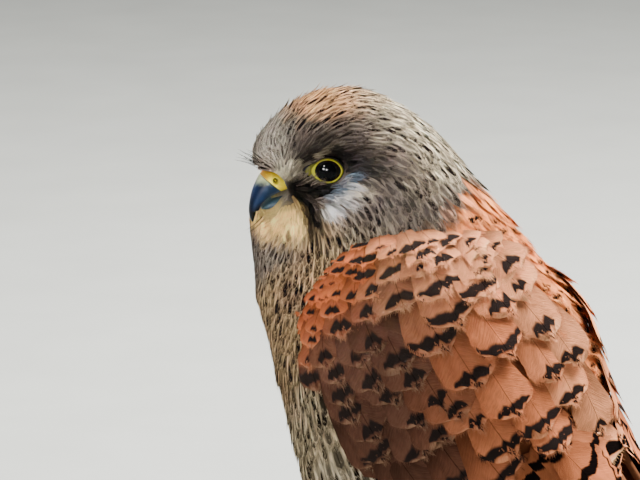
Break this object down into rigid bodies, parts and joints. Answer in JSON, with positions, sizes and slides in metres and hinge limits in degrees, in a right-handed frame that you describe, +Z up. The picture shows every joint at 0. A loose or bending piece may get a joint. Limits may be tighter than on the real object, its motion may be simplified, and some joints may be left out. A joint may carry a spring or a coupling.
{
  "type": "common kestrel",
  "caption": "Life-size still model of a standing common kestrel that looks over its left shoulder, with folded wings and a long tail resting on the floor.",
  "frame": {"origin": "on the floor, under the middle of the bird's overall box", "axes": "+Z up, -Y the way the breast and feet face, +X the bird's left side; the head is turned to the left"},
  "size_m": [0.095, 0.2294, 0.2368],
  "materials": {
    "head_plumage": "soft grey-brown feathers with fine dark streaks",
    "breast_plumage": "soft cream feathers with dark drop-shaped streaks",
    "wing_plumage": "smooth rufous feathers with dark spots and bars",
    "eye": "wet, glossy dark brown",
    "cere": "waxy yellow bare skin",
    "horn": "smooth blue-grey to black horn",
    "scaled_skin": "yellow skin with small plates"
  },
  "bodies": {
    "root": {"head": "head_plumage", "neck": "head_plumage", "torso": "breast_plumage", "tail": "wing_plumage", "wing_left": "wing_plumage", "wing_right": "wing_plumage", "eye_left": "eye", "eye_right": "eye", "cere": "cere", "upper_bill": "horn", "lower_bill": "horn", "shin_left": "breast_plumage", "shin_right": "breast_plumage", "shank_left": "scaled_skin", "shank_right": "scaled_skin", "foot_left": "scaled_skin", "foot_right": "scaled_skin", "claw_left_inner": "horn", "claw_left_middle": "horn", "claw_left_outer": "horn", "claw_left_hind": "horn", "claw_right_inner": "horn", "claw_right_middle": "horn", "claw_right_outer": "horn", "claw_right_hind": "horn"}
  },
  "joints": []
}
